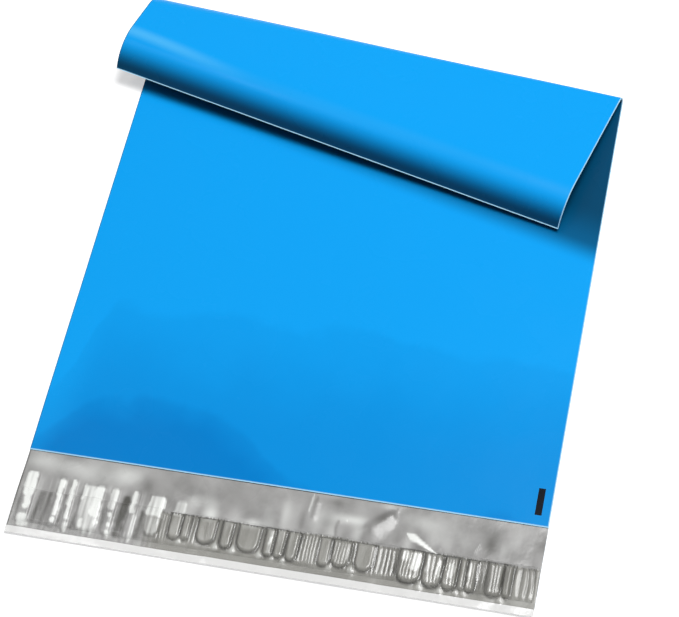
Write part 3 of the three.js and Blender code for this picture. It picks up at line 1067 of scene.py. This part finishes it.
def cut_edge_material(surface_group):
    material, tree, shader, place = film_material("film_cut_edge")
    colour = mix_colour(tree, speckle(tree, place, CUT_SPECKLE_SCALE, 2.0), CUT_PALE, CUT_DEEP)
    dress(
        tree, shader, surface_group, place, colour, gloss=0.1, bump_distance=0.1 * MM,
        Crumple_Scale=400.0, Crumple=0.4, Line=0.0, Smooth_Roughness=0.35, Dull_Roughness=0.5,
    )
    return material


ADHESIVE_CLEAR = (0.305, 0.302, 0.275, 1)
ADHESIVE_DARK = (0.205, 0.202, 0.178, 1)
MELT_STRETCH = (1.0, 0.16, 1.0)
MELT_STREAK_SCALE = 260.0
MELT_STREAK_RANGE = (0.38, 0.68)


def adhesive_material(surface_group, tone_group):
    material, tree, shader, place = film_material("hot_melt_adhesive")
    stretched = vector_calc(tree, "MULTIPLY", place, MELT_STRETCH)
    streaks = smooth_step(tree, speckle(tree, stretched, MELT_STREAK_SCALE, 3.0), *MELT_STREAK_RANGE)
    melt = mix_colour(tree, streaks, ADHESIVE_CLEAR, ADHESIVE_DARK)
    colour = toned(tree, tone_group, mottled_grey(tree, place), melt)
    dress(
        tree, shader, surface_group, stretched, colour, gloss=0.5, bump_distance=0.6 * MM,
        Crumple_Scale=330.0, Crumple=0.45, Line=0.0, Smooth_Roughness=0.16, Dull_Roughness=0.3,
    )
    return material


LINER_TINT = (0.9, 0.9, 0.89, 1)
LINER_HAZE = (0.97, 0.97, 0.96, 1)
LINER_HAZE_SCALE = 120.0
LINER_COVER = 0.025
OVERHANG_COVER = 0.82
OVERHANG_EDGE = 0.2 * MM
RIM_WIDTH = 0.3 * MM
RIM_SHARE = 0.2


# Nearly clear over the adhesive, frosted past the flap's edge and faint at its own rim
def liner_material(surface_group):
    material, tree, shader, place = film_material("release_liner_film")
    colour = mix_colour(tree, speckle(tree, place, LINER_HAZE_SCALE, 3.0), LINER_TINT, LINER_HAZE)
    along = add_node(tree, "ShaderNodeSeparateXYZ", [place]).outputs[1]
    past_flap = (-FLAP_LENGTH - OVERHANG_EDGE, -FLAP_LENGTH)
    cover = smooth_step(tree, along, *past_flap, OVERHANG_COVER, LINER_COVER)
    rim = -FLAP_LENGTH - LINER_OVERHANG
    off_rim = smooth_step(tree, along, rim, rim + RIM_WIDTH, RIM_SHARE, 1.0)
    feed(tree, shader.inputs["Alpha"], calc(tree, "MULTIPLY", cover, off_rim))
    dress(
        tree, shader, surface_group, place, colour, gloss=0.6, bump_distance=0.6 * MM,
        Crumple_Scale=160.0, Crumple=0.5, Line=0.03, Smooth_Roughness=0.12, Dull_Roughness=0.24,
    )
    return material


# The camera's place round the bag, as read from the photograph's perspective
VIEW_AZIMUTH = math.radians(25.17)
VIEW_ELEVATION = math.radians(60.48)
VIEW_ROLL = math.radians(-14.79)
VIEW_DISTANCE = 0.9394
VIEW_TARGET = Vector((6.8 * MM, -11.6 * MM, 0))
FOCAL_LENGTH_PIXELS = 1898.7
PHOTO_WIDTH_PIXELS = 679
SENSOR_WIDTH_MM = 36


def add_camera():
    back = Vector((
        math.sin(VIEW_AZIMUTH) * math.cos(VIEW_ELEVATION),
        -math.cos(VIEW_AZIMUTH) * math.cos(VIEW_ELEVATION),
        math.sin(VIEW_ELEVATION),
    ))
    level = Vector((math.cos(VIEW_AZIMUTH), math.sin(VIEW_AZIMUTH), 0))
    upright = back.cross(level)
    right = level * math.cos(VIEW_ROLL) + upright * math.sin(VIEW_ROLL)
    up = upright * math.cos(VIEW_ROLL) - level * math.sin(VIEW_ROLL)
    turned = Matrix((right, up, back)).transposed().to_4x4()
    camera = add_object("camera", bpy.data.cameras.new("camera"))
    camera.data.sensor_width = SENSOR_WIDTH_MM
    camera.data.lens = FOCAL_LENGTH_PIXELS * SENSOR_WIDTH_MM / PHOTO_WIDTH_PIXELS
    camera.matrix_world = Matrix.Translation(VIEW_TARGET + back * VIEW_DISTANCE) @ turned
    bpy.context.scene.camera = camera


# The soft lamps: name, place, where each one is aimed, its side in metres, and watts
LAMPS = (
    ("overhead_softbox", (0.45, 0.25, 1.75), (0, 0, 0), 0.7, 28),
    ("left_softbox", (-0.45, 0.1, 1.0), (-0.1, 0.1, 0), 0.2, 0.8),
)


def add_lamp(name, place, aim, side, watts):
    lamp = bpy.data.lights.new(name, "AREA")
    lamp.size = side
    lamp.energy = watts
    made = add_object(name, lamp)
    made.location = place
    made.rotation_euler = (Vector(aim) - Vector(place)).to_track_quat("-Z", "Y").to_euler()


# 1 for what the camera sees, also through film and in reflections
def seen_part(tree):
    path = add_node(tree, "ShaderNodeLightPath").outputs
    direct = calc(tree, "MAXIMUM", path["Is Camera Ray"], path["Is Transmission Ray"])
    return calc(tree, "MAXIMUM", direct, path["Is Glossy Ray"])


# How much light comes from all round, apart from the lamps
ROOM_LIGHT = 0.12
WHITE = (1, 1, 1, 1)


def add_room():
    world = bpy.data.worlds.new("room")
    world.use_nodes = True
    bpy.context.scene.world = world
    tree = world.node_tree
    tree.nodes.clear()
    strength = calc(tree, "MULTIPLY_ADD", seen_part(tree), 1 - ROOM_LIGHT, ROOM_LIGHT)
    background = add_node(tree, "ShaderNodeBackground", {"Color": WHITE, "Strength": strength})
    add_node(tree, "ShaderNodeOutputWorld", [background.outputs[0]])


# The floor's half size and how far it lies under the bag. Its glow keeps it white to
# the camera, and it still shows the bag's shadow
FLOOR_HALF = 4.0
FLOOR_GAP = 0.2 * MM
FLOOR_COLOUR = (0.86, 0.86, 0.86, 1)
FLOOR_GLOW = 0.48


def add_floor():
    mesh = bpy.data.meshes.new("floor")
    corners = [(x * FLOOR_HALF, y * FLOOR_HALF, -FLOOR_GAP) for x, y in ((-1, -1), (1, -1), (1, 1), (-1, 1))]
    mesh.from_pydata(corners, [], [(0, 1, 2, 3)])
    floor = add_object("floor", mesh)
    material, tree, shader = new_material("pale_floor")
    set_inputs(shader, Base_Color=FLOOR_COLOUR, Roughness=0.9, Specular_IOR_Level=0.1, Emission_Color=WHITE)
    glow = calc(tree, "MULTIPLY", seen_part(tree), FLOOR_GLOW)
    feed(tree, shader.inputs["Emission Strength"], glow)
    mesh.materials.append(material)


def build_bag():
    layout = solved_layout()
    surface_group = film_surface_group()
    tone_group = flap_tone_group()
    finishes = [
        blue_film_material(surface_group, layout),
        grey_film_material(surface_group, tone_group),
        cut_edge_material(surface_group),
    ]
    film = FlatMesh()
    add_flap(film, add_body(film, layout))
    film_piece = rolled(film.to_object("film_bag"), roll_tree(finishes), layout)
    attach(film_piece, "root")
    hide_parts("bag_film")

    band_outs = [out for out in flap_outs() if ADHESIVE_START < out < ADHESIVE_END]
    band_outs = [ADHESIVE_START, *band_outs, ADHESIVE_END]
    adhesive_height = FILM_THICKNESS + STRIP_CLEARANCE
    adhesive = flap_strip(
        "adhesive_band", band_outs, ADHESIVE_SIDE_MARGIN, adhesive_height, ADHESIVE_THICKNESS, ADHESIVE_TAPER
    )
    melt = adhesive_material(surface_group, tone_group)
    adhesive_piece = rolled(adhesive, roll_tree([melt]), layout)
    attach(adhesive_piece, "root")
    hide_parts("adhesive_strip")

    overhang_outs = evenly(FLAP_LENGTH, FLAP_LENGTH + LINER_OVERHANG, OVERHANG_ROWS)
    liner_outs = [*band_outs, *overhang_outs]
    liner_height = adhesive_height + ADHESIVE_THICKNESS + STRIP_CLEARANCE
    liner = flap_strip("liner_strip", liner_outs, 0, liner_height, LINER_THICKNESS)
    liner_piece = rolled(liner, roll_tree([liner_material(surface_group)]), layout)
    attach(liner_piece, "root")
    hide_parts("release_liner")


bpy.context.scene.view_settings.view_transform = "Standard"
add_camera()
add_room()
add_floor()
for lamp_settings in LAMPS:
    add_lamp(*lamp_settings)
build_bag()
